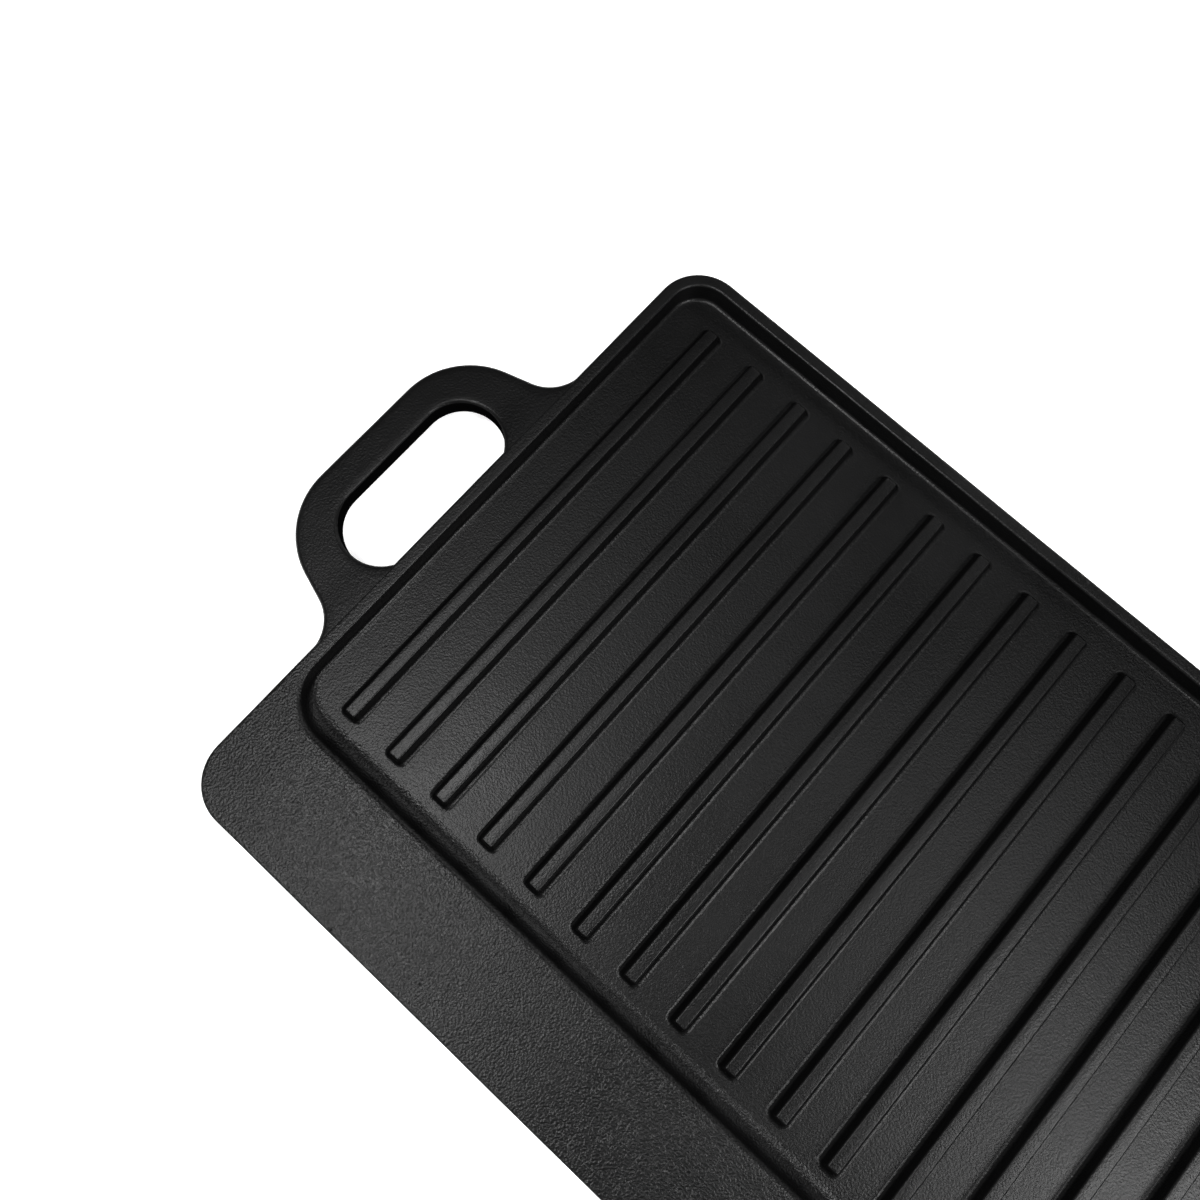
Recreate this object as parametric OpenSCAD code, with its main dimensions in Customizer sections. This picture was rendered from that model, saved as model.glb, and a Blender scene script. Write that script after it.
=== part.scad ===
// Cast griddle plate: a sunk tray with cross ribs, a wide smooth ledge along
// its front long side and a loop handle at each short end. Turned over, it has
// a plain griddle face and a deep grease trough under the ledge.
//
// Frame: +X along the plate's length, +Y from the ledge to the back rim, +Z up.
// The origin is the middle of the face that the plate rests on.
// The real thing is one iron casting. Each node is one feature of that casting,
// and neighbours meet face to face.

/* [Plate] */
// Length of the plate without its handles
plate_length = 362; // [300:1:420]
// Width of the plate across the ribs' ends
plate_width = 230; // [200:1:270]
// Height from the resting face to the rim's top
plate_height = 16.5; // [15:0.5:24]
// Radius of the plate's outer corners, seen from above
corner_r = 15.5; // [9:0.5:19]
// Rounding of every outer edge of the rim
edge_r = 0.8; // [0.4:0.1:1.4]

/* [Tray] */
// Width of the rim's flat top
rim_w = 4.3; // [3.5:0.1:7]
// Depth of the tray below the rim's top
tray_depth = 7.5; // [6.5:0.5:9]
// How far the tray's wall leans in from its top to the floor
wall_lean = 0.5; // [0.3:0.1:2]
// Radius where the tray's wall runs into the floor
foot_r = 1.5; // [1:0.5:4]
// Radius of the tray's two front corners, at the rim's edge
tray_corner_r = 15; // [11:1:24]
// Thickness of the floor between the tray and the flat side
floor_t = 5; // [4:0.5:7]

/* [Flat side] */
// How far the flat side's wall leans in, from the resting face up
under_lean = 0.6; // [0.3:0.1:1.2]
// Radius where that wall runs into the griddle face
under_foot_r = 1.6; // [1:0.1:2.5]

/* [Ledge] */
// Width of the smooth ledge, from the plate's front edge to the tray
ledge_w = 36.8; // [24:0.1:50]
// Thickness of the ledge
ledge_t = 5; // [4:0.5:7]
// Thickness of the trough's outer wall, above the flat side's rim
trough_wall = 7.2; // [7.1:0.1:12]
// Radius under the ledge, along the outer wall of the trough
trough_r = 3; // [1:0.5:5]

/* [Ribs] */
// From the plate's end to the middle of the first rib
rib_inset = 21.3; // [18:0.1:30]
// Width of a rib's flat top
rib_top_w = 3.8; // [2:0.1:5]
// Height of a rib above the floor
rib_h = 4.2; // [3:0.1:6]
// How far a rib's side spreads from its top to the floor
rib_lean = 1.4; // [1:0.1:3]
// Radius at the foot of a rib
rib_foot_r = 1; // [0.5:0.1:1.5]
// Rounding of a rib's top edges
rib_edge_r = 0.6; // [0.3:0.1:1]
// From the tray's front and back edges to the ends of a rib's top
rib_end_gap = 10.5; // [9:0.5:20]

/* [Handles] */
// How far a handle stands out from the plate's end
handle_reach = 37.2; // [30:0.1:50]
// Thickness of a handle
handle_t = 8.5; // [6:0.5:9.5]
// How far a handle's top lies below the rim's top
handle_drop = 0.4; // [0:0.1:2]
// How far the handles' middle lies from the plate's, towards the ledge
handle_shift = 1.1; // [0:0.1:4]
// Width of the handle's outer bar
bar_w = 11.5; // [8:0.1:14]
// Length of the straight stretch of the outer bar
bar_straight = 38.2; // [20:1:44]
// Outer radius of a handle's two corners
handle_corner_r = 27; // [20:1:30]
// Angle between a handle's side and the plate's length
flank_angle = 17.5; // [5:0.5:25]
// Radius where a handle runs into the plate's end
handle_root_r = 13.5; // [8:0.5:15]
// Length of the finger slot
slot_length = 62.2; // [50:0.2:70]
// Radius of the finger slot's ends
slot_end_r = 13.7; // [11:0.1:15]
// Rounding of a handle's edges
handle_edge_r = 1.4; // [0.8:0.1:2.4]

/* [Hidden] */
rib_count = 18;
RIBS = [for (i = [1 : rib_count]) str("rib_", i < 10 ? "0" : "", i)];

$fn = 72;
iron = [0.14, 0.14, 0.145];
rib_iron = [0.19, 0.19, 0.195];
past = 1;                                     // how far a cut runs past a face
arc_steps = 5;                                // facets of one small rounding
bend_steps = 12;                              // facets of one bend of a handle

half_l = plate_length / 2;
half_w = plate_width / 2;
floor_z = plate_height - tray_depth;          // top of the floor
face_z = floor_z - floor_t;                   // the flat side's griddle face
ledge_z = plate_height - ledge_t;             // underside of the ledge
lean_a = atan(wall_lean / tray_depth);        // tray wall from upright
under_a = atan(under_lean / face_z);          // flat side's wall from upright

// Where the wall's foot, the flat side's foot, the trough's outer wall and the
// ledge's underside begin, in from the outer face
foot_s = wall_s(floor_z + foot_r) + foot_r / cos(lean_a);
under_foot_s = under_s(face_z - under_foot_r) + under_foot_r / cos(under_a);
trough_s = max(trough_wall, under_foot_s + edge_r);
lip_s = trough_s + trough_r;
outer_r = max(corner_r, foot_s + edge_r, lip_s + edge_r);
// The ledge ends where the tray's front wall begins
front_off = ledge_w - rim_w;
// Side of the square that holds one of the tray's front corners
tray_sq = rim_w + max(tray_corner_r, foot_s - rim_w + edge_r);

rib_pitch = (plate_length - 2 * rib_inset) / (rib_count - 1);
rib_y0 = -half_w + ledge_w + rib_end_gap;     // front end of a rib's top
rib_y1 = half_w - rim_w - rib_end_gap;        // back end of a rib's top
rib_a = atan(rib_lean / rib_h);

// ---- points and sections ----

// Points along an arc, with r its radius, a0 and a1 its end angles and n its facets
function arc(c, r, a0, a1, n = arc_steps) =
    [for (i = [0 : n]) let (a = a0 + (a1 - a0) * i / n) c + r * [cos(a), sin(a)]];

// Distance of the tray's wall from the outer face at height z, and the same
// for the flat side's wall
function wall_s(z) = rim_w + wall_lean * (plate_height - z) / tray_depth;
function under_s(z) = rim_w + under_lean * z / face_z;

// The tray's side of a wall, from the floor up to the rim's top: [in, up]
function tray_side() = concat(
    arc([foot_s, floor_z + foot_r], foot_r, 270, 180 + lean_a),
    arc([wall_s(plate_height - edge_r) - edge_r / cos(lean_a), plate_height - edge_r],
        edge_r, lean_a, 90)
);

// The flat side of a wall, from the resting face up to the griddle face
function flat_side() = concat(
    arc([under_s(edge_r) - edge_r / cos(under_a), edge_r], edge_r, 270, 360 - under_a),
    arc([under_foot_s, face_z - under_foot_r], under_foot_r, 180 - under_a, 90)
);

// The plate's outer face with its two rounded edges, down and up
function outer_low() = arc([edge_r, edge_r], edge_r, 180, 270);
function outer_high() = arc([edge_r, plate_height - edge_r], edge_r, 90, 180);

// Rim with the floor's edge, which ends at the distance given
function rim_section(end_s) = concat(
    outer_low(), flat_side(), [[end_s, face_z], [end_s, floor_z]], tray_side(), outer_high()
);

// Outer wall of the trough with the ledge's edge, which ends at the distance given
function lip_section(end_s) = concat(
    outer_low(),
    flat_side(),
    arc([trough_s - edge_r, face_z + edge_r], edge_r, 270, 360),
    arc([lip_s, ledge_z - trough_r], trough_r, 180, 90),
    [[end_s, ledge_z], [end_s, plate_height]],
    outer_high()
);

// Wall between the trough and the tray, with no rim below the griddle face
function front_wall_section() = concat(
    arc([edge_r, face_z + edge_r], edge_r, 180, 270),
    [[foot_s, face_z], [foot_s, floor_z]],
    tray_side(),
    [[0, plate_height]]
);

// A section drawn [in, up], run along +Y from y0 to y1 inside the left end
module along_end(section, y0, y1) {
    translate([-half_l, y1, 0])
        rotate([90, 0, 0])
            linear_extrude(height = y1 - y0) polygon(section);
}

// A section drawn [in, up], run along X between x0 and x1, with its outer face
// at y and its inside towards +Y
module along_front(section, x0, x1, y) {
    translate([x0, y, 0])
        rotate([90, 0, 90])
            linear_extrude(height = x1 - x0) polygon(section);
}

// A section drawn [in, up], turned a quarter round a corner of radius r
module round_corner(section, r) {
    rotate([0, 0, 180])
        rotate_extrude(angle = 90) polygon([for (p = section) [r - p[0], p[1]]]);
}

module mirrored() {
    mirror([1, 0, 0]) children();
}

// ---- floor and rims ----

module floor_plate() {
    x = half_l - foot_s;
    front_y = -half_w + front_off + foot_s;
    front_n = [half_l - tray_sq, -half_w + front_off + tray_sq];
    back_y = half_w - foot_s;
    back_n = [half_l - outer_r, half_w - outer_r];
    right = [[front_n[0], front_y], [front_n[0], front_n[1]], [x, front_n[1]],
             [x, back_n[1]], [back_n[0], back_n[1]], [back_n[0], back_y]];
    left = [for (p = reversed(right)) [-p[0], p[1]]];
    color(iron)
        translate([0, 0, face_z])
            linear_extrude(height = floor_t) polygon(concat(right, left));
}

module left_rim() {
    color(iron)
        along_end(rim_section(foot_s), -half_w + front_off + tray_sq, half_w - outer_r);
}

module right_rim() {
    mirrored() left_rim();
}

module back_rim() {
    color(iron)
        mirror([0, 1, 0])
            along_front(rim_section(foot_s), -half_l + outer_r, half_l - outer_r, -half_w);
}

module back_left_corner() {
    color(iron)
        translate([-half_l + outer_r, half_w - outer_r, 0])
            mirror([0, 1, 0]) round_corner(rim_section(outer_r), outer_r);
}

module back_right_corner() {
    mirrored() back_left_corner();
}

// ---- front of the tray, ledge and trough ----

module tray_front_wall() {
    color(iron)
        along_front(front_wall_section(), -half_l + tray_sq, half_l - tray_sq,
                    -half_w + front_off);
}

// A square block over the flat side's wall, with the tray's rounded corner cut in it
module tray_left_corner() {
    block = concat(outer_low(), flat_side(),
                   [[tray_sq, face_z], [tray_sq, plate_height]], outer_high());
    top_s = wall_s(plate_height - edge_r) - edge_r / cos(lean_a);
    tray_cut = concat([[tray_sq, floor_z]], tray_side(),
                      [[top_s, plate_height + past], [tray_sq, plate_height + past]]);
    y0 = -half_w + front_off;
    color(iron)
        difference() {
            along_end(block, y0, y0 + tray_sq);
            translate([-half_l + tray_sq, y0 + tray_sq, 0])
                rotate_extrude() polygon([for (p = tray_cut) [tray_sq - p[0], p[1]]]);
        }
}

module tray_right_corner() {
    mirrored() tray_left_corner();
}

module front_ledge() {
    x = half_l - lip_s;
    n = [half_l - outer_r, -half_w + outer_r];
    y0 = -half_w + lip_s;
    y1 = -half_w + front_off;
    color(iron)
        translate([0, 0, ledge_z])
            linear_extrude(height = ledge_t)
                polygon([[-n[0], y0], [n[0], y0], n, [x, n[1]], [x, y1],
                         [-x, y1], [-x, n[1]], [-n[0], n[1]]]);
}

module front_rim() {
    color(iron)
        along_front(lip_section(lip_s), -half_l + outer_r, half_l - outer_r, -half_w);
}

module front_left_corner() {
    color(iron)
        union() {
            translate([-half_l + outer_r, -half_w + outer_r, 0])
                round_corner(lip_section(outer_r), outer_r);
            along_end(lip_section(lip_s), -half_w + outer_r, -half_w + front_off);
        }
}

module front_right_corner() {
    mirrored() front_left_corner();
}

// ---- handles ----

// A handle's outline seen from above, drawn in by d all round but for its feet,
// which stay on the plate's end at x = 0. +X is out of the plate's end.
// First the outer run from foot to foot, then the slot's run back.
function handle_outside(d) =
    let (half_bar = bar_straight / 2,
         bend = [handle_reach - handle_corner_r, half_bar],
         side_out = bend + handle_corner_r * [sin(flank_angle), cos(flank_angle)],
         side_in_x = handle_root_r * (1 - sin(flank_angle)),
         side_in_y = side_out[1] + (side_out[0] - side_in_x) * tan(flank_angle),
         root = [handle_root_r, side_in_y + handle_root_r * cos(flank_angle)],
         root_out = handle_root_r + d,
         half = on_plate(concat(
             arc(root, root_out, 180 + acos(handle_root_r / root_out), 270 - flank_angle, bend_steps),
             arc(bend, handle_corner_r - d, 90 - flank_angle, 0, bend_steps))))
    concat(half, flipped(half));

function handle_slot(d) =
    let (out = slot_end_r + d,
         middle = [handle_reach - bar_w - slot_end_r, slot_length / 2 - slot_end_r],
         open_a = 180 - acos(min(0.9, middle[0] / out)),
         half = on_plate(arc(middle, out, open_a, 0, bend_steps)))
    reversed(concat(half, flipped(half)));

// A run of points whose first one lies on the plate's end
function on_plate(points) =
    [for (i = [0 : len(points) - 1]) i == 0 ? [0, points[0][1]] : points[i]];

function reversed(points) = [for (i = [len(points) - 1 : -1 : 0]) points[i]];

// The same points below the middle line, in the opposite order
function flipped(points) = [for (p = reversed(points)) [p[0], -p[1]]];

// [drawn in, up] of each layer of a bar with all its edges rounded
function bar_layers(t, r) = concat(
    [for (i = [0 : arc_steps]) let (a = 90 * i / arc_steps) [r * (1 - sin(a)), r * (1 - cos(a))]],
    [for (i = [0 : arc_steps]) let (a = 90 * i / arc_steps) [r * (1 - cos(a)), t - r * (1 - sin(a))]]
);

// Triangles of one layer's flat face, in a strip between the outer run of m
// points and the slot's run of the points after it, up to n
function strip_face(m, n) =
    [for (j = [0 : m - 2])
        let (a = n - 1 - round(j * (n - m - 1) / (m - 1)),
             b = n - 1 - round((j + 1) * (n - m - 1) / (m - 1)))
        each concat([[j, j + 1, a]], a == b ? [] : [[j + 1, b, a]])];

module right_handle() {
    layers = bar_layers(handle_t, handle_edge_r);
    m = len(handle_outside(0));
    n = m + len(handle_slot(0));
    last = len(layers) - 1;
    points = [for (layer = layers)
        for (p = concat(handle_outside(layer[0]), handle_slot(layer[0]))) [p[0], p[1], layer[1]]];
    sides = [for (k = [0 : last - 1]) for (i = [0 : n - 1])
        let (a = k * n + i, b = k * n + (i + 1) % n)
        each [[a, b, b + n], [a, b + n, a + n]]];
    low_face = [for (f = strip_face(m, n)) [f[0], f[2], f[1]]];
    top_face = [for (f = strip_face(m, n)) [f[0] + last * n, f[1] + last * n, f[2] + last * n]];
    color(iron)
        translate([half_l, -handle_shift, plate_height - handle_drop - handle_t])
            polyhedron(points, concat(low_face, sides, top_face));
}

module left_handle() {
    mirrored() right_handle();
}

// ---- ribs ----

// Half of a rib's outline across: [out from its middle, up from the floor]
function rib_half() =
    let (side = rib_top_w / 2,
         foot_x = side + rib_lean * (rib_h - rib_foot_r) / rib_h + rib_foot_r / cos(rib_a),
         edge_x = side + rib_lean * rib_edge_r / rib_h - rib_edge_r / cos(rib_a))
    concat(
        arc([foot_x, rib_foot_r], rib_foot_r, 270, 180 + rib_a),
        arc([edge_x, rib_h - rib_edge_r], rib_edge_r, rib_a, 90)
    );

// The same slope at both ends of a span of the given half length
function rib_outline(half) =
    let (grow = half - rib_top_w / 2,
         side = rib_half())
    concat(
        [for (p = side) [p[0] + grow, p[1]]],
        [for (p = reversed(side)) [-p[0] - grow, p[1]]]
    );

module rib(i) {
    run = rib_y1 - rib_y0;
    span = run + 4 * (rib_lean + rib_foot_r);
    color(rib_iron)
        translate([-half_l + rib_inset + (i - 1) * rib_pitch, (rib_y0 + rib_y1) / 2, floor_z])
            intersection() {
                rotate([90, 0, 0])
                    linear_extrude(height = span, center = true) polygon(rib_outline(rib_top_w / 2));
                rotate([90, 0, 90])
                    linear_extrude(height = span, center = true) polygon(rib_outline(run / 2));
            }
}

floor_plate();
back_rim();
left_rim();
right_rim();
tray_front_wall();
back_left_corner();
back_right_corner();
tray_left_corner();
tray_right_corner();
front_ledge();
front_rim();
front_left_corner();
front_right_corner();
left_handle();
right_handle();
rib(1);  // rib_01
rib(2);  // rib_02
rib(3);  // rib_03
rib(4);  // rib_04
rib(5);  // rib_05
rib(6);  // rib_06
rib(7);  // rib_07
rib(8);  // rib_08
rib(9);  // rib_09
rib(10);  // rib_10
rib(11);  // rib_11
rib(12);  // rib_12
rib(13);  // rib_13
rib(14);  // rib_14
rib(15);  // rib_15
rib(16);  // rib_16
rib(17);  // rib_17
rib(18);  // rib_18
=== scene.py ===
"""A cast-iron griddle plate, dressed: the ribbed side with its ledge and loop handles up."""

import math

import bmesh
import bpy
import numpy as np
from mathutils import Matrix, Vector, noise
from mathutils.geometry import tessellate_polygon


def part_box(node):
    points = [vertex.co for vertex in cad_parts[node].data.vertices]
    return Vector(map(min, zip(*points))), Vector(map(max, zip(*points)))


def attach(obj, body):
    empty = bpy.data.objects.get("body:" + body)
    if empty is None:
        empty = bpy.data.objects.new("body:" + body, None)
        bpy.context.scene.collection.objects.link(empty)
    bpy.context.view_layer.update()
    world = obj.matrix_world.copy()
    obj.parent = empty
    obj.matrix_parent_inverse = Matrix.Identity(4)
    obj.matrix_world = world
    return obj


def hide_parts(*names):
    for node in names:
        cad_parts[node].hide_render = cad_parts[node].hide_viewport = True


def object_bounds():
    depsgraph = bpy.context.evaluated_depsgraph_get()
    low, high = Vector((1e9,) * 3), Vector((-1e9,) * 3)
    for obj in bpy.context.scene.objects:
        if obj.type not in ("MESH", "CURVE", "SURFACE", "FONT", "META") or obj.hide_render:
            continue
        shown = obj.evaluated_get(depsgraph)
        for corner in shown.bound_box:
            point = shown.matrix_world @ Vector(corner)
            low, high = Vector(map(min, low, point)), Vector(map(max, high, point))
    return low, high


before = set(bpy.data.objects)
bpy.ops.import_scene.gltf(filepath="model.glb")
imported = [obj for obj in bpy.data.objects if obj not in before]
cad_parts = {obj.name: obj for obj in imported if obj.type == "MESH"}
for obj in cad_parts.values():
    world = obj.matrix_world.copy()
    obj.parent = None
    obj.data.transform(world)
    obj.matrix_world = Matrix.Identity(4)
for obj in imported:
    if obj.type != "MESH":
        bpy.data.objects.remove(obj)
cad_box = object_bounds()

MM = 0.001

# ---- sizes of the casting, in metres ----

# Places that the frame gives
HALF_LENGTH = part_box("right_rim")[1].x
HALF_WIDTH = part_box("back_rim")[1].y
TOP_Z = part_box("back_rim")[1].z
FLOOR_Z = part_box("floor_plate")[1].z
FACE_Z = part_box("floor_plate")[0].z
LEDGE_LOW_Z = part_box("front_ledge")[0].z
FRONT_WALL_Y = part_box("tray_front_wall")[0].y
HANDLE_LOW_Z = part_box("left_handle")[0].z
HANDLE_TOP_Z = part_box("left_handle")[1].z
HANDLE_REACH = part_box("right_handle")[1].x - HALF_LENGTH
HANDLE_Y = sum(corner.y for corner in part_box("left_handle")) / 2
RIB_TOP_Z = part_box("rib_01")[1].z
RIB_NAMES = sorted(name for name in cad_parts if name.startswith("rib_"))

# Rim, tray and ledge. A wall's lean is its run over its height.
CORNER_R = 15.5 * MM
EDGE_R = 0.8 * MM
RIM_WIDTH = 4.3 * MM
WALL_LEAN = math.atan(0.5 / 7.5)
FOOT_R = 1.4 * MM
FRONT_EDGE_R = 2.2 * MM
FRONT_FOOT_R = 5.5 * MM
TRAY_FRONT_CORNER_R = 15 * MM
# A narrow flat strip next to each rounding keeps the shading of the flats even
FLAT_RUN = 0.6 * MM
# The rim and the ledge part here, just inside the wall between the tray and the ledge
SEAM_Y = FRONT_WALL_Y + 1 * MM

# Flat side and grease trough
UNDER_LEAN = math.atan(0.6 / 4)
UNDER_FOOT_R = 1.6 * MM
TROUGH_WALL = 7.2 * MM
TROUGH_EDGE_R = 0.5 * MM
TROUGH_FOOT_R = 2.6 * MM
TROUGH_CORNER_R = 5.8 * MM
TROUGH_BACK_CORNER_R = 3.2 * MM

# Ribs
RIB_TOP_WIDTH = 3.8 * MM
RIB_LEAN = math.atan(1.0 / 4.2)
RIB_FOOT_R = 1.8 * MM
RIB_EDGE_R = 0.6 * MM
RIB_CORNER_R = 0.5 * MM
RIB_SHIFT = (0.08 * MM, 0.15 * MM, 0.05 * MM)
RIB_SEED = 4

# Handles
BAR_WIDTH = 11.5 * MM
BAR_STRAIGHT = 38.2 * MM
BEND_R = 27 * MM
FLANK = math.radians(17.5)
ROOT_R = 13.5 * MM
SLOT_LENGTH = 62.2 * MM
SLOT_END_R = 13.7 * MM
HANDLE_EDGE_R = 1.4 * MM
# How far round the slot its wall of painted shade (an iron without reflection) reaches, and how
# far the feet reach into the plate
SLOT_SHADE = 0.5 * MM
HANDLE_SEAT = 1.5 * MM
# The top is this much higher at the plate's end, and level after this run
HANDLE_RISE = 0.25 * MM
HANDLE_RISE_RUN = 12 * MM
# Turns on the slot's end that face the two ends of the straight flank
FLANK_FOOT_TURN = math.radians(122)
FLANK_HEAD_TURN = math.radians(104)

# How finely curves and long sides are divided
ROUND_STEPS = 6
FOOT_STEPS = 10
CORNER_STEPS = 14
LONG_STEPS = 60
SHORT_STEPS = 36
LEDGE_STEPS = 7
ROOT_STEPS = 10
FLANK_STEPS = 6
BEND_STEPS = 18
BAR_STEPS = 12
SECTION_STEPS = 6

# Points closer than this become one, and edges blunter than this are shaded smoothly
WELD = 0.002 * MM
SMOOTH_ANGLE = math.radians(40)

# Unevenness of the mould: long waves, and shorter ones with a share of their height
WAVE_LENGTH = 34 * MM
WAVE_HEIGHT = 0.10 * MM
SHORT_WAVES = 3.1
SHORT_WAVE_SHARE = 0.35
WAVE_SEED = 7

# ---- finish of the iron ----

# Colours of the bare seasoning and of thicker film
BLACK = (0.0011, 0.0011, 0.00115)
BLACK_FILM = (0.0018, 0.0018, 0.0019)

# Sand grain. Scales are per metre, depths are shares of the pebbles' height, radii of a cell.
GRIT_FINENESS = 3.3
SWELL_SCALE = 45.0
PIT_SCALE = 210.0
PIT_RADIUS = (0.03, 0.10)
PIT_RARITY = 0.92
PIT_DEPTH = 1.5
SPECK_SCALE = 900.0

# What film, specks and pits add to the colour's mix and to the roughness
FILM_TONE = 0.7
SPECK_TONE = 0.3
FILM_ROUGHNESS = 0.06
PIT_ROUGHNESS = 0.3

# A face is a side while its normal's height is below the first value, and flat above the second
SIDE_TO_TOP = (0.25, 0.85)

# How far behind the front wall the ledge's stronger grain fades out
LEDGE_FADE = 40 * MM

# ---- studio ----

PAPER = (0.9, 0.9, 0.9, 1)
FLOOR_RADIUS = 4
FLOOR_GLOW = 0.55

# The studio's pale walls change to its darker ceiling between these heights of the direction
WALL_TOP = 0.30
CEILING = 0.65
WALL_LIGHT = 0.8
CEILING_LIGHT = 0.10
LAMP_TARGET = Vector((-0.06, 0, 0.01))

# The camera, fitted to the photograph: its place and the way it is turned
CAMERA_LENS = 30.84
CAMERA_SENSOR = 36
CAMERA_PLACE = (-0.08783, -0.04330, 0.32242)
CAMERA_RIGHT = (0.742318, 0.669795, 0.018412)
CAMERA_UP = (-0.658288, 0.72389, 0.206495)
CAMERA_BACK = (0.124982, -0.165405, 0.978274)


# ---- curves and skins ----

def round_over(centre, radius, start, end, steps=ROUND_STEPS):
    """Points [in, up] along an arc between two angles in degrees."""
    turn = [math.radians(start + (end - start) * i / steps) for i in range(steps + 1)]
    return [(centre[0] + radius * math.cos(a), centre[1] + radius * math.sin(a)) for a in turn]


def smooth_step(x):
    """An even change from 0 to 1, with soft ends."""
    x = min(1.0, max(0.0, x))
    return x * x * (3 - 2 * x)


def plate_outline(half_x, front, back, front_r, back_r):
    """Points, inward directions and weights of a rounded rectangle, turning left.

    The weight is 1 along the front side and 0 along the others, and changes in the front corners.
    """
    corners = (
        (half_x - front_r, front + front_r, front_r, -90, lambda t: 1 - t, SHORT_STEPS),
        (half_x - back_r, back - back_r, back_r, 0, lambda t: 0, LONG_STEPS),
        (back_r - half_x, back - back_r, back_r, 90, lambda t: 0, SHORT_STEPS),
        (front_r - half_x, front + front_r, front_r, 180, lambda t: t, LONG_STEPS),
    )
    runs = []
    for x, y, r, start, weight, _ in corners:
        run = []
        for i in range(CORNER_STEPS + 1):
            t = i / CORNER_STEPS
            a = math.radians(start + 90 * t)
            out = (math.cos(a), math.sin(a))
            run.append((x + r * out[0], y + r * out[1], -out[0], -out[1], smooth_step(weight(t))))
        runs.append(run)
    rows = []
    for k, (*_, steps) in enumerate(corners):
        rows += runs[k]
        last = np.array(runs[k][-1])
        first = np.array(runs[(k + 1) % 4][0])
        rows += [tuple(last + (first - last) * i / steps) for i in range(1, steps)]
    rows = np.array(rows)
    return rows[:, 0:2], rows[:, 2:4], rows[:, 4]


def ring(outline, inset, height):
    """One loop of points: the outline drawn in by inset, at height. Both may vary along it."""
    points, inward, _ = outline
    inset = np.broadcast_to(inset, len(points))
    height = np.broadcast_to(height, len(points))
    return np.column_stack([points + inward * inset[:, None], height])


def skin(loops, first=0):
    """Quads between loops of equal length, where first is the number of the first point."""
    n = len(loops[0])
    return [
        (first + k * n + i, first + k * n + (i + 1) % n,
         first + (k + 1) * n + (i + 1) % n, first + (k + 1) * n + i)
        for k in range(len(loops) - 1) for i in range(n)
    ]


def mould_wave(point):
    """How far the mould's unevenness moves a point, in metres."""
    near = noise.noise_vector(point / WAVE_LENGTH)
    fine = noise.noise_vector(point / WAVE_LENGTH * SHORT_WAVES)
    return (near + SHORT_WAVE_SHARE * fine) * WAVE_HEIGHT


def make_uneven(mesh):
    """Moves the rims and edges a little, and leaves the floor and the flat face where they are."""
    low, high = cad_box
    for v in mesh.vertices:
        above = smooth_step((v.co.z - FLOOR_Z) / (TOP_Z - FLOOR_Z))
        below = smooth_step((FACE_Z - v.co.z) / FACE_Z)
        v.co += mould_wave(v.co) * max(above, below)
        v.co = Vector(min(high[i], max(low[i], v.co[i])) for i in range(3))


def solid(name, points, faces, irons=(), uneven=True):
    """A closed mesh object with its faces pointing outwards and its flats kept flat."""
    mesh = bpy.data.meshes.new(name)
    mesh.from_pydata([tuple(p) for p in points], [], faces)
    if uneven:
        make_uneven(mesh)
    close_skin(mesh)
    for iron in irons:
        mesh.materials.append(iron)
    piece = bpy.data.objects.new(name, mesh)
    bpy.context.scene.collection.objects.link(piece)
    return piece


def close_skin(mesh):
    """Joins the points that meet, turns the faces outwards and sets the shading."""
    shape = bmesh.new()
    shape.from_mesh(mesh)
    bmesh.ops.remove_doubles(shape, verts=shape.verts, dist=WELD)
    bmesh.ops.recalc_face_normals(shape, faces=shape.faces)
    shape.to_mesh(mesh)
    shape.free()
    for face in mesh.polygons:
        face.use_smooth = True
    mesh.set_sharp_from_angle(angle=SMOOTH_ANGLE)


# ---- rim, tray wall, ledge and trough ----

def tray_outline():
    """The edge between the tray's wall and the top of the rim and the ledge."""
    return plate_outline(
        HALF_LENGTH - RIM_WIDTH, FRONT_WALL_Y + RIM_WIDTH, HALF_WIDTH - RIM_WIDTH,
        TRAY_FRONT_CORNER_R, CORNER_R - RIM_WIDTH,
    )


def wall_profile(foot_r, edge_r):
    """The tray's wall from the floor's flat up to the rim's flat: [in, up] from the rim's edge."""
    foot_z = FLOOR_Z + foot_r
    foot_in = math.tan(WALL_LEAN) * (TOP_Z - foot_z) + foot_r / math.cos(WALL_LEAN)
    edge_z = TOP_Z - edge_r
    edge_in = math.tan(WALL_LEAN) * edge_r - edge_r / math.cos(WALL_LEAN)
    lean = math.degrees(WALL_LEAN)
    return [
        (foot_in + FLAT_RUN, FACE_Z),
        (foot_in + FLAT_RUN, FLOOR_Z),
        *round_over((foot_in, foot_z), foot_r, 270, 180 + lean, FOOT_STEPS),
        *round_over((edge_in, edge_z), edge_r, lean, 90),
        (edge_in - FLAT_RUN, TOP_Z),
    ]


def tray_loops():
    """Loops of the tray's side, where the front wall is softer than the other three."""
    outline = tray_outline()
    weight = outline[2]
    narrow = wall_profile(FOOT_R, EDGE_R)
    soft = wall_profile(FRONT_FOOT_R, FRONT_EDGE_R)
    return [
        ring(outline, a[0] + (b[0] - a[0]) * weight, a[1] + (b[1] - a[1]) * weight)
        for a, b in zip(narrow, soft)
    ]


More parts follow.
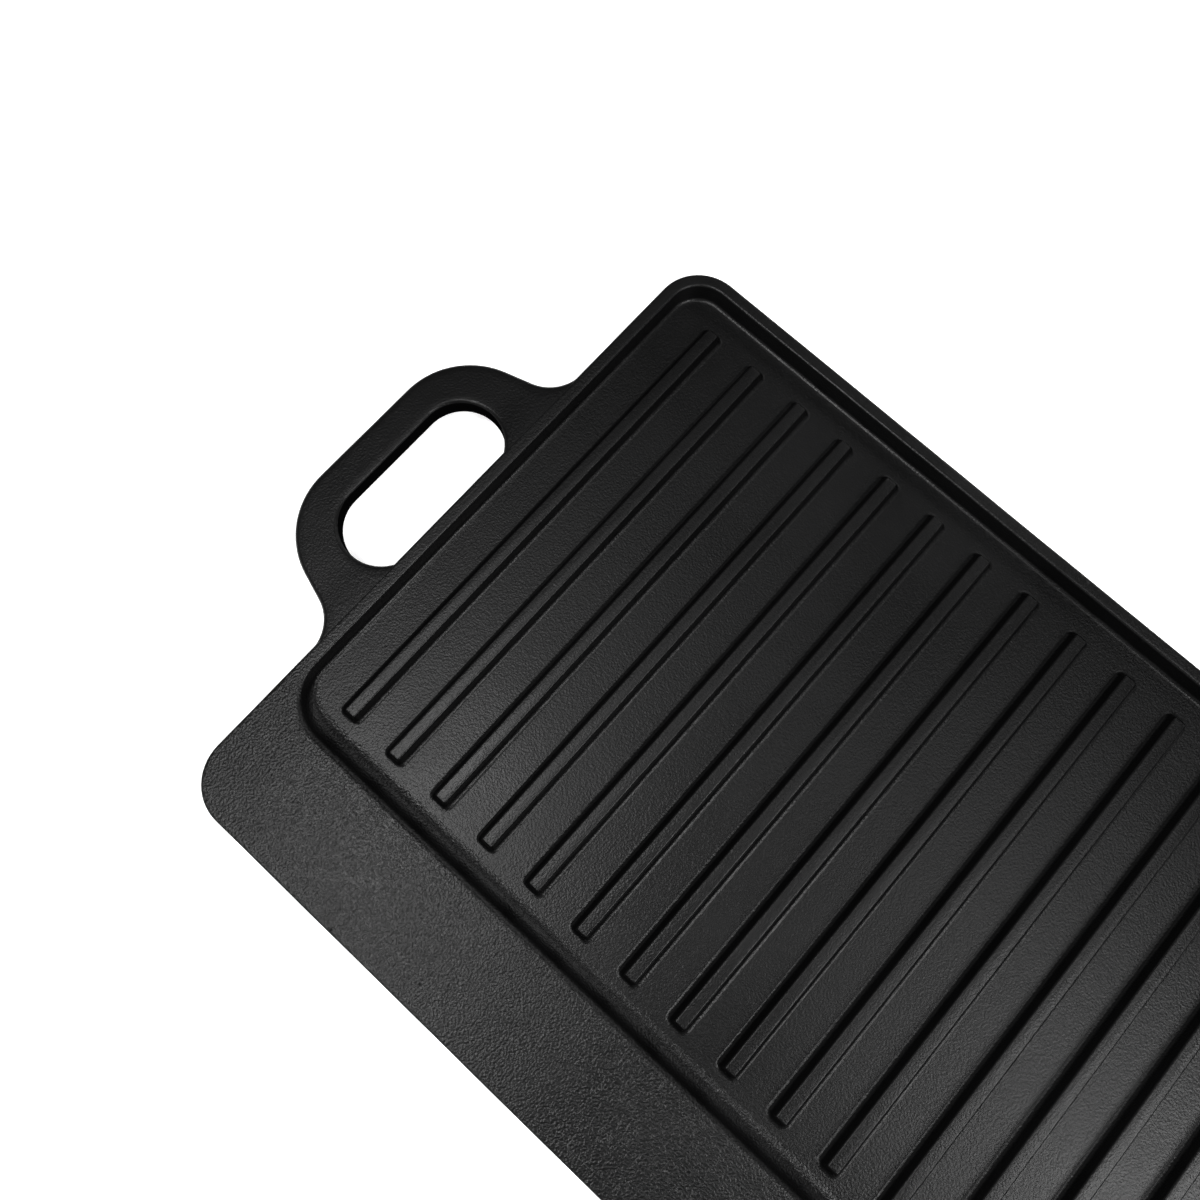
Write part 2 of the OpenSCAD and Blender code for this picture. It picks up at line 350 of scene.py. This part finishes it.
def outer_loops():
    """Loops from the rim's flat top down the outer face and up the flat side's wall."""
    outline = plate_outline(HALF_LENGTH, -HALF_WIDTH, HALF_WIDTH, CORNER_R, CORNER_R)
    lean = math.degrees(UNDER_LEAN)
    low_in = RIM_WIDTH + math.tan(UNDER_LEAN) * EDGE_R - EDGE_R / math.cos(UNDER_LEAN)
    foot_z = FACE_Z - UNDER_FOOT_R
    foot_in = RIM_WIDTH + math.tan(UNDER_LEAN) * foot_z + UNDER_FOOT_R / math.cos(UNDER_LEAN)
    profile = [
        (EDGE_R + FLAT_RUN, TOP_Z),
        *round_over((EDGE_R, TOP_Z - EDGE_R), EDGE_R, 90, 180),
        *round_over((EDGE_R, EDGE_R), EDGE_R, 180, 270),
        *round_over((low_in, EDGE_R), EDGE_R, 270, 360 - lean),
        *round_over((foot_in, foot_z), UNDER_FOOT_R, 180 - lean, 90),
    ]
    return [ring(outline, inset, height) for inset, height in profile]


def trough_loops():
    """Loops of the trough from its mouth in the flat side up to its roof."""
    outline = plate_outline(
        HALF_LENGTH - TROUGH_WALL, TROUGH_WALL - HALF_WIDTH, FRONT_WALL_Y,
        TROUGH_CORNER_R, TROUGH_BACK_CORNER_R,
    )
    profile = [
        *round_over((-TROUGH_EDGE_R, FACE_Z + TROUGH_EDGE_R), TROUGH_EDGE_R, 270, 360),
        *round_over((TROUGH_FOOT_R, LEDGE_LOW_Z - TROUGH_FOOT_R), TROUGH_FOOT_R, 180, 90),
    ]
    return [ring(outline, inset, height) for inset, height in profile]


def rim_and_ledge(iron):
    """The whole skin round the tray: wall, rim, ledge, outer face, flat side's rim and trough."""
    tray = tray_loops()
    outer = outer_loops()
    across = [
        tray[-1] + (outer[0] - tray[-1]) * i / LEDGE_STEPS for i in range(1, LEDGE_STEPS)
    ]
    loops = tray + across + outer
    trough = trough_loops()
    n = len(loops[0])
    faces = skin(loops) + skin(trough, first=len(loops) * n)
    starts = [(len(loops) - 1) * n, 0, len(loops) * n]
    edges = [outer[-1], tray[0], trough[0]]
    numbers = [start + i for start in starts for i in range(n)]
    flat = tessellate_polygon([[Vector(p) for p in loop] for loop in edges])
    faces += [tuple(numbers[i] for i in face) for face in flat]
    roof = (len(loops) + len(trough) - 1) * n
    faces.append(tuple(roof + i for i in range(n)))
    return solid("rim_casting", np.vstack(loops + trough), faces, [iron])


def keep_side(piece, y, front):
    """Keeps what lies in front of the plane at y, or behind it, and closes the cut."""
    shape = bmesh.new()
    shape.from_mesh(piece.data)
    everything = shape.verts[:] + shape.edges[:] + shape.faces[:]
    bmesh.ops.bisect_plane(
        shape, geom=everything, plane_co=(0, y, 0), plane_no=(0, 1, 0),
        clear_outer=front, clear_inner=not front,
    )
    bmesh.ops.holes_fill(shape, edges=shape.edges, sides=0)
    shape.to_mesh(piece.data)
    shape.free()
    close_skin(piece.data)


def copy_of(piece, name):
    """A second piece with a mesh of its own."""
    copy = piece.copy()
    copy.data = piece.data.copy()
    copy.name = copy.data.name = name
    bpy.context.scene.collection.objects.link(copy)
    return copy


def floor_casting(iron):
    """The web between the tray and the flat face, as far as the walls' feet."""
    bottom, top = tray_loops()[0:2]
    n = len(top)
    faces = skin([bottom, top]) + [tuple(range(n)), tuple(range(n, 2 * n))]
    return solid("floor_casting", np.vstack([bottom, top]), faces, [iron], uneven=False)


# ---- handles ----

def handle_stations():
    """Pairs of (point, direction into the metal) on the outline and on the slot, foot to foot.

    +X points out of the plate's end.
    """
    bend = np.array([HANDLE_REACH - BEND_R, BAR_STRAIGHT / 2])
    side_out = bend + BEND_R * np.array([math.sin(FLANK), math.cos(FLANK)])
    side_in_x = ROOT_R * (1 - math.sin(FLANK))
    side_in_y = side_out[1] + (side_out[0] - side_in_x) * math.tan(FLANK)
    side_in = np.array([side_in_x, side_in_y])
    root = np.array([ROOT_R, side_in_y + ROOT_R * math.cos(FLANK)])
    slot = np.array([HANDLE_REACH - BAR_WIDTH - SLOT_END_R, SLOT_LENGTH / 2 - SLOT_END_R])
    slot_foot = math.pi - math.acos(slot[0] / SLOT_END_R)

    def on_circle(centre, radius, angle):
        out = np.array([math.cos(angle), math.sin(angle)])
        return centre + radius * out, out

    half = []
    root_end = 1.5 * math.pi - FLANK
    slot_marks = (slot_foot, FLANK_FOOT_TURN, FLANK_HEAD_TURN, 0.0)
    steps = (ROOT_STEPS, FLANK_STEPS, BEND_STEPS)
    for part, count in enumerate(steps):
        for i in range(count + (part == 2)):
            t = i / count
            if part == 0:
                outer = on_circle(root, ROOT_R, math.pi + (root_end - math.pi) * t)
            elif part == 1:
                outer = (side_in + (side_out - side_in) * t, on_circle(root, 1, root_end)[1])
            else:
                point, out = on_circle(bend, BEND_R, (math.pi / 2 - FLANK) * (1 - t))
                outer = (point, -out)
            angle = slot_marks[part] + (slot_marks[part + 1] - slot_marks[part]) * t
            half.append((outer, on_circle(slot, SLOT_END_R, angle)))
    bar = [
        tuple((point * np.array([1, s]), way) for point, way in half[-1])
        for s in np.linspace(1, -1, BAR_STEPS + 1)[1:-1]
    ]
    flip = np.array([1, -1])
    back = [tuple((point * flip, way * flip) for point, way in pair) for pair in reversed(half)]
    return half + bar + back


def bar_section(outer, slot):
    """The points of one cross-section: up the outer side, over, down the slot side, back under."""
    low, high, r = HANDLE_LOW_Z, HANDLE_TOP_Z, HANDLE_EDGE_R
    rounding = [(r * (1 - math.cos(a)), r * (1 - math.sin(a)))
                for a in (math.pi / 2 * i / ROUND_STEPS for i in range(ROUND_STEPS + 1))]

    def up(side):
        point, way = side
        lower = [(*(point + way * d), low + h) for d, h in reversed(rounding)]
        upper = [(*(point + way * d), high - h) for d, h in rounding]
        return lower + upper

    climb, descend = up(outer), up(slot)[::-1]
    over = cross(climb[-1], descend[0])
    under = cross(descend[-1], climb[0])
    section = np.array(climb + over + descend + under)
    lift = [HANDLE_RISE * (1 - smooth_step(p[0] / HANDLE_RISE_RUN)) for p in section]
    share = (section[:, 2] - low) / (high - low)
    section[:, 2] += np.array(lift) * share
    return section


def cross(start, end):
    """The points between two corners of a cross-section."""
    start, end = np.array(start), np.array(end)
    return [tuple(start + (end - start) * i / SECTION_STEPS) for i in range(1, SECTION_STEPS)]


def handle(name, side, irons):
    """A loop handle whose feet sit a little inside the plate's end.

    The first of the irons covers it, and the second, an iron without reflection, paints the wall
    of its finger slot in shade.
    """
    sections = [bar_section(*pair) for pair in handle_stations()]
    into = np.array([-HANDLE_SEAT, 0, 0])
    sections = [sections[0] + into] + sections + [sections[-1] + into]
    n = len(sections[0])
    faces = skin(sections)
    last = (len(sections) - 1) * n
    faces += [tuple(range(n)), tuple(last + i for i in range(n))]
    points = np.vstack(sections)
    points[:, 0] = side * (HALF_LENGTH + points[:, 0])
    points[:, 1] += HANDLE_Y
    piece = solid(name, points, faces, irons)
    middle_x = side * (HALF_LENGTH + HANDLE_REACH - BAR_WIDTH - SLOT_END_R)
    half = SLOT_LENGTH / 2 - SLOT_END_R
    for face in piece.data.polygons:
        place = face.center
        near_y = HANDLE_Y + max(-half, min(half, place.y - HANDLE_Y))
        away = math.hypot(place.x - middle_x, place.y - near_y)
        # The slot's wall faces take the second iron: painted shade
        if away < SLOT_END_R + SLOT_SHADE and face.normal.z < 0.5:
            face.material_index = 1
    return piece


# ---- ribs ----

def rib_shape():
    """One rib round its own middle, standing on the tray's floor."""
    low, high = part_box("rib_01")
    rib_height = RIB_TOP_Z - FLOOR_Z
    foot_out = math.tan(RIB_LEAN) * (rib_height - RIB_FOOT_R) + RIB_FOOT_R / math.cos(RIB_LEAN)
    edge_in = RIB_EDGE_R / math.cos(RIB_LEAN) - math.tan(RIB_LEAN) * RIB_EDGE_R
    half_x = RIB_TOP_WIDTH / 2
    half_y = (high.y - low.y) / 2 - foot_out
    lean = math.degrees(RIB_LEAN)
    foot = round_over((-foot_out, RIB_FOOT_R), RIB_FOOT_R, 270, 360 - lean)
    edge = round_over((edge_in, rib_height - RIB_EDGE_R), RIB_EDGE_R, 180 - lean, 90)
    outline = plate_outline(half_x, -half_y, half_y, RIB_CORNER_R, RIB_CORNER_R)
    loops = [ring(outline, inset, FLOOR_Z + up) for inset, up in foot + edge]
    n = len(loops[0])
    last = (len(loops) - 1) * n
    faces = skin(loops) + [tuple(range(n)), tuple(last + i for i in range(n))]
    points = np.vstack(loops) + np.array([0, (low.y + high.y) / 2, 0])
    return solid("grill_ribs", points, faces, uneven=False)


def rib_row_tree():
    """Nodes that set one rib out in a row and let each one differ a little, as castings do."""
    tree = bpy.data.node_groups.new("rib_row", "GeometryNodeTree")
    sockets = {}
    for name, kind in (
        ("Rib", "NodeSocketGeometry"), ("Count", "NodeSocketInt"), ("Start", "NodeSocketVector"),
        ("Pitch", "NodeSocketVector"), ("Shift", "NodeSocketVector"),
        ("Seed", "NodeSocketInt"), ("Iron", "NodeSocketMaterial"),
    ):
        sockets[name] = tree.interface.new_socket(name=name, in_out="INPUT", socket_type=kind)
    tree.interface.new_socket(name="Ribs", in_out="OUTPUT", socket_type="NodeSocketGeometry")
    node = tree.nodes.new
    link = tree.links.new
    given = node("NodeGroupInput").outputs
    line = node("GeometryNodeMeshLine")
    link(given["Count"], line.inputs["Count"])
    link(given["Start"], line.inputs["Start Location"])
    link(given["Pitch"], line.inputs["Offset"])
    place = node("GeometryNodeInstanceOnPoints")
    link(line.outputs["Mesh"], place.inputs["Points"])
    link(given["Rib"], place.inputs["Instance"])
    negative = node("ShaderNodeVectorMath")
    negative.operation = "SCALE"
    negative.inputs["Scale"].default_value = -1
    link(given["Shift"], negative.inputs[0])
    chance = node("FunctionNodeRandomValue")
    chance.data_type = "FLOAT_VECTOR"
    link(negative.outputs["Vector"], chance.inputs["Min"])
    link(given["Shift"], chance.inputs["Max"])
    link(given["Seed"], chance.inputs["Seed"])
    move = node("GeometryNodeTranslateInstances")
    link(place.outputs["Instances"], move.inputs["Instances"])
    link(chance.outputs["Value"], move.inputs["Translation"])
    real = node("GeometryNodeRealizeInstances")
    link(move.outputs["Instances"], real.inputs["Geometry"])
    finish = node("GeometryNodeSetMaterial")
    link(real.outputs["Geometry"], finish.inputs["Geometry"])
    link(given["Iron"], finish.inputs["Material"])
    link(finish.outputs["Geometry"], node("NodeGroupOutput").inputs["Ribs"])
    return tree, sockets


def grill_ribs(iron):
    """The row of ribs, made from one rib."""
    rib = rib_shape()
    centre = [sum(corner.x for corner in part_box(name)) / 2 for name in RIB_NAMES]
    pitch = (centre[-1] - centre[0]) / (len(centre) - 1)
    tree, sockets = rib_row_tree()
    row = rib.modifiers.new("rib_row", "NODES")
    row.node_group = tree
    values = {
        "Count": len(centre),
        "Start": (centre[0], 0, 0),
        "Pitch": (pitch, 0, 0),
        "Shift": RIB_SHIFT,
        "Seed": RIB_SEED,
        "Iron": iron,
    }
    for name, value in values.items():
        row[sockets[name].identifier] = value
    return made_plain(rib)


def made_plain(piece):
    """The piece with what its modifiers make as its own mesh."""
    bpy.context.view_layer.update()
    evaluated = piece.evaluated_get(bpy.context.evaluated_depsgraph_get())
    mesh = bpy.data.meshes.new_from_object(evaluated)
    piece.modifiers.clear()
    piece.data = mesh
    mesh.name = piece.name
    return piece


# ---- the finish of the iron ----

def group_of(name, inputs, outputs):
    """A shader node group with named inputs (each with its value) and named outputs."""
    tree = bpy.data.node_groups.new(name, "ShaderNodeTree")
    for label, kind, value in inputs:
        socket = tree.interface.new_socket(name=label, in_out="INPUT", socket_type=kind)
        if value is not None:
            socket.default_value = value
    for label, kind in outputs:
        tree.interface.new_socket(name=label, in_out="OUTPUT", socket_type=kind)
    return tree, tree.nodes.new("NodeGroupInput").outputs, tree.nodes.new("NodeGroupOutput").inputs


def noise_node(tree, vector, scale, detail, rough=0.5):
    """Noise between 0 and 1. The scale may be a number or a socket."""
    node = tree.nodes.new("ShaderNodeTexNoise")
    node.inputs["Detail"].default_value = detail
    node.inputs["Roughness"].default_value = rough
    tree.links.new(vector, node.inputs["Vector"])
    if isinstance(scale, (int, float)):
        node.inputs["Scale"].default_value = scale
    else:
        tree.links.new(scale, node.inputs["Scale"])
    return node.outputs["Fac"]


def math_node(tree, operation, a, b=None, clamp=False):
    """One sum, where a and b may be numbers or sockets."""
    node = tree.nodes.new("ShaderNodeMath")
    node.operation = operation
    node.use_clamp = clamp
    for socket, value in zip(node.inputs, (a, b)):
        if value is None:
            continue
        if isinstance(value, (int, float)):
            socket.default_value = value
        else:
            tree.links.new(value, socket)
    return node.outputs[0]


def map_node(tree, value, low, high, to_low, to_high):
    """A soft change from to_low to to_high while the value goes from low to high."""
    node = tree.nodes.new("ShaderNodeMapRange")
    node.interpolation_type = "SMOOTHSTEP"
    tree.links.new(value, node.inputs["Value"])
    node.inputs["From Min"].default_value = low
    node.inputs["From Max"].default_value = high
    node.inputs["To Min"].default_value = to_low
    node.inputs["To Max"].default_value = to_high
    return node.outputs["Result"]


def sand_grain_group():
    """The skin that the sand leaves: pebbles, finer grit, a few pits and a long slow swell."""
    tree, given, out = group_of(
        "sand_grain",
        [("Place", "NodeSocketVector", None), ("Pebbles per Metre", "NodeSocketFloat", 800.0),
         ("Grit", "NodeSocketFloat", 0.06), ("Pits", "NodeSocketFloat", 1.0)],
        [("Height", "NodeSocketFloat"), ("Pit Mask", "NodeSocketFloat")],
    )
    place = given["Place"]
    pebble = noise_node(tree, place, given["Pebbles per Metre"], 1.0)
    fine_scale = math_node(tree, "MULTIPLY", given["Pebbles per Metre"], GRIT_FINENESS)
    grit = math_node(tree, "MULTIPLY", noise_node(tree, place, fine_scale, 1.0), given["Grit"])
    swell = noise_node(tree, place, SWELL_SCALE, 1.0)
    cells = tree.nodes.new("ShaderNodeTexVoronoi")
    cells.inputs["Scale"].default_value = PIT_SCALE
    tree.links.new(place, cells.inputs["Vector"])
    dot = map_node(tree, cells.outputs["Distance"], *PIT_RADIUS, 1.0, 0.0)
    pick = tree.nodes.new("ShaderNodeSeparateColor")
    tree.links.new(cells.outputs["Color"], pick.inputs["Color"])
    rare = math_node(tree, "GREATER_THAN", pick.outputs["Red"], PIT_RARITY)
    pit = math_node(tree, "MULTIPLY", math_node(tree, "MULTIPLY", dot, rare), given["Pits"])
    total = math_node(tree, "ADD", pebble, grit)
    total = math_node(tree, "ADD", total, swell)
    total = math_node(tree, "SUBTRACT", total, math_node(tree, "MULTIPLY", pit, PIT_DEPTH))
    tree.links.new(total, out["Height"])
    tree.links.new(pit, out["Pit Mask"])
    return tree


def seasoning_group():
    """Baked oil: slow patches of thicker and thinner film, and fine specks, from 0 to 1."""
    tree, given, out = group_of(
        "seasoning",
        [("Place", "NodeSocketVector", None), ("Patches per Metre", "NodeSocketFloat", 22.0)],
        [("Film", "NodeSocketFloat"), ("Speck", "NodeSocketFloat")],
    )
    patch = noise_node(tree, given["Place"], given["Patches per Metre"], 3.0, 0.6)
    speck = noise_node(tree, given["Place"], SPECK_SCALE, 2.0, 0.6)
    tree.links.new(map_node(tree, patch, 0.3, 0.7, 0.0, 1.0), out["Film"])
    tree.links.new(map_node(tree, speck, 0.35, 0.75, 0.0, 1.0), out["Speck"])
    return tree


def colour_between(tree, factor, first, second):
    """A mix of two colours."""
    node = tree.nodes.new("ShaderNodeMix")
    node.data_type = "RGBA"
    node.inputs["A"].default_value = (*first, 1)
    node.inputs["B"].default_value = (*second, 1)
    tree.links.new(factor, node.inputs["Factor"])
    return node.outputs["Result"]


def seasoned_iron(name, groups, gloss, side_gloss, grain, bump, shine, pits=1.0, away_grain=1.0):
    """Seasoned cast iron. Gloss is the roughness of upward faces, side_gloss that of the sides.

    Away_grain is the share of the grain's height that is left away from the ledge.
    """
    material = bpy.data.materials.new(name)
    material.use_nodes = True
    tree = material.node_tree
    tree.nodes.clear()
    surface = tree.nodes.new("ShaderNodeBsdfPrincipled")
    output = tree.nodes.new("ShaderNodeOutputMaterial")
    tree.links.new(surface.outputs["BSDF"], output.inputs["Surface"])
    where = tree.nodes.new("ShaderNodeTexCoord")
    place = where.outputs["Object"]

    sand = tree.nodes.new("ShaderNodeGroup")
    sand.node_tree = groups["sand"]
    sand.inputs["Pebbles per Metre"].default_value = grain
    sand.inputs["Pits"].default_value = pits
    tree.links.new(place, sand.inputs["Place"])
    film = tree.nodes.new("ShaderNodeGroup")
    film.node_tree = groups["seasoning"]
    tree.links.new(place, film.inputs["Place"])

    tone = math_node(tree, "MULTIPLY", film.outputs["Film"], FILM_TONE)
    speck = math_node(tree, "MULTIPLY", film.outputs["Speck"], SPECK_TONE)
    tone = math_node(tree, "ADD", tone, speck)
    colour = colour_between(tree, tone, BLACK, BLACK_FILM)
    tree.links.new(colour, surface.inputs["Base Color"])

    split = tree.nodes.new("ShaderNodeSeparateXYZ")
    tree.links.new(where.outputs["Normal"], split.inputs["Vector"])
    upright = math_node(tree, "ABSOLUTE", split.outputs["Z"])
    base_rough = map_node(tree, upright, *SIDE_TO_TOP, side_gloss, gloss)
    varied = math_node(tree, "MULTIPLY", film.outputs["Film"], FILM_ROUGHNESS)
    rough = math_node(tree, "ADD", base_rough, varied)
    duller = math_node(tree, "MULTIPLY", sand.outputs["Pit Mask"], PIT_ROUGHNESS)
    rough = math_node(tree, "ADD", rough, duller, clamp=True)
    tree.links.new(rough, surface.inputs["Roughness"])

    relief = tree.nodes.new("ShaderNodeBump")
    relief.inputs["Strength"].default_value = 1.0
    relief.inputs["Distance"].default_value = bump
    spot = tree.nodes.new("ShaderNodeSeparateXYZ")
    tree.links.new(place, spot.inputs["Vector"])
    fade_end = FRONT_WALL_Y + LEDGE_FADE
    share = map_node(tree, spot.outputs["Y"], FRONT_WALL_Y, fade_end, 1.0, away_grain)
    grain_height = math_node(tree, "MULTIPLY", sand.outputs["Height"], share)
    tree.links.new(grain_height, relief.inputs["Height"])
    tree.links.new(relief.outputs["Normal"], surface.inputs["Normal"])
    surface.inputs["Specular IOR Level"].default_value = shine
    return material


# ---- floor, light and camera ----

def white_floor():
    """A plain white floor that keeps the plate's shadow."""
    bpy.ops.mesh.primitive_circle_add(vertices=96, radius=FLOOR_RADIUS, fill_type="NGON")
    floor = bpy.context.object
    floor.name = "studio_floor"
    material = bpy.data.materials.new("white_paper")
    material.use_nodes = True
    tree = material.node_tree
    surface = tree.nodes["Principled BSDF"]
    surface.inputs["Base Color"].default_value = PAPER
    surface.inputs["Roughness"].default_value = 1.0
    surface.inputs["Specular IOR Level"].default_value = 0.0
    tree.links.new(seen_directly(tree, FLOOR_GLOW), surface.inputs["Emission Strength"])
    surface.inputs["Emission Color"].default_value = (1, 1, 1, 1)
    floor.data.materials.append(material)


def seen_directly(tree, strength, otherwise=0.0):
    """The strength given where the camera looks, also through gloss and glass."""
    path = tree.nodes.new("ShaderNodeLightPath")
    seen = math_node(tree, "MAXIMUM", path.outputs["Is Camera Ray"], path.outputs["Is Glossy Ray"])
    seen = math_node(tree, "MAXIMUM", seen, path.outputs["Is Transmission Ray"])
    return map_linear(tree, seen, otherwise, strength)


def map_linear(tree, value, low, high):
    """An even change from low to high while the value goes from 0 to 1."""
    node = tree.nodes.new("ShaderNodeMapRange")
    tree.links.new(value, node.inputs["Value"])
    node.inputs["To Min"].default_value = low
    node.inputs["To Max"].default_value = high
    return node.outputs["Result"]


def studio_world():
    """Even light from a studio with pale walls and a darker ceiling."""
    world = bpy.data.worlds.new("studio")
    bpy.context.scene.world = world
    world.use_nodes = True
    tree = world.node_tree
    background = tree.nodes["Background"]
    where = tree.nodes.new("ShaderNodeTexCoord")
    split = tree.nodes.new("ShaderNodeSeparateXYZ")
    tree.links.new(where.outputs["Generated"], split.inputs["Vector"])
    height = map_node(tree, split.outputs["Z"], WALL_TOP, CEILING, WALL_LIGHT, CEILING_LIGHT)
    tree.links.new(height, background.inputs["Strength"])
    background.inputs["Color"].default_value = (1, 1, 1, 1)


def softbox(name, azimuth, elevation, distance, size, power):
    """An area lamp that looks at the tray from a direction in degrees. The power is in watts."""
    lamp = bpy.data.lights.new(name, "AREA")
    lamp.shape = "RECTANGLE"
    lamp.size, lamp.size_y = size
    lamp.energy = power
    holder = bpy.data.objects.new(name, lamp)
    a, e = math.radians(azimuth), math.radians(elevation)
    away = Vector((math.cos(e) * math.cos(a), math.cos(e) * math.sin(a), math.sin(e)))
    holder.location = LAMP_TARGET + away * distance
    holder.rotation_euler = away.to_track_quat("Z", "Y").to_euler()
    bpy.context.scene.collection.objects.link(holder)


def photo_camera():
    """The camera where the photograph was taken from: close above the left end."""
    data = bpy.data.cameras.new("camera")
    data.lens = CAMERA_LENS
    data.sensor_width = CAMERA_SENSOR
    data.clip_start = 0.01
    camera = bpy.data.objects.new("camera", data)
    turn = Matrix((CAMERA_RIGHT, CAMERA_UP, CAMERA_BACK)).transposed().to_4x4()
    camera.matrix_world = Matrix.Translation(CAMERA_PLACE) @ turn
    bpy.context.scene.collection.objects.link(camera)
    bpy.context.scene.camera = camera


# ---- the studio set up ----

photo_camera()
studio_world()
white_floor()
# Name, azimuth, elevation, distance, size, power
softbox("front_softbox", 229, 75.5, 1.6, (0.3, 0.3), 12)
softbox("low_front_softbox", 262, 54, 1.6, (0.3, 0.3), 7.8)
softbox("side_softbox", 0, 47, 1.0, (0.22, 0.35), 6)
softbox("back_softbox", 28, 66, 1.6, (0.5, 0.5), 4)
softbox("far_softbox", 135, 76, 1.6, (0.45, 0.45), 1.8)
softbox("window", 90, 39, 1.6, (0.7, 0.6), 5)
bpy.context.scene.view_settings.view_transform = "Standard"

# ---- the irons ----

groups = {"sand": sand_grain_group(), "seasoning": seasoning_group()}
plate_iron = seasoned_iron(
    "plate_iron", groups,
    gloss=0.28, side_gloss=0.38, grain=1400.0, bump=0.21 * MM, shine=0.175, away_grain=0.4)
floor_iron = seasoned_iron(
    "floor_iron", groups,
    gloss=0.30, side_gloss=0.38, grain=1600.0, bump=0.09 * MM, shine=0.155, pits=0.6)
rib_iron = seasoned_iron(
    "rib_iron", groups,
    gloss=0.30, side_gloss=0.38, grain=1600.0, bump=0.09 * MM, shine=0.16, pits=0.5)
handle_iron = seasoned_iron(
    "handle_iron", groups,
    gloss=0.31, side_gloss=0.42, grain=1500.0, bump=0.09 * MM, shine=0.14)
# An iron without reflection for the slot's wall, so that the wall renders black: painted shade
slot_shade_iron = seasoned_iron(
    "slot_shade_iron", groups,
    gloss=0.6, side_gloss=0.6, grain=1500.0, bump=0.10 * MM, shine=0.0)
handle_irons = (handle_iron, slot_shade_iron)

# ---- the pieces and what they stand for ----

# Blender starts its vector noise from the clock, unless it is given a seed
noise.seed_set(WAVE_SEED)
rim = rim_and_ledge(plate_iron)
ledge = copy_of(rim, "ledge_casting")
keep_side(rim, SEAM_Y, front=False)
keep_side(ledge, SEAM_Y, front=True)
pieces = [
    (rim, ["back_rim", "left_rim", "right_rim", "back_left_corner", "back_right_corner",
           "tray_front_wall", "tray_left_corner", "tray_right_corner"]),
    (ledge, ["front_ledge", "front_rim", "front_left_corner", "front_right_corner"]),
    (floor_casting(floor_iron), ["floor_plate"]),
    (handle("left_handle_loop", -1, handle_irons), ["left_handle"]),
    (handle("right_handle_loop", 1, handle_irons), ["right_handle"]),
    (grill_ribs(rib_iron), RIB_NAMES),
]
for piece, nodes in pieces:
    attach(piece, "root")
    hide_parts(*nodes)
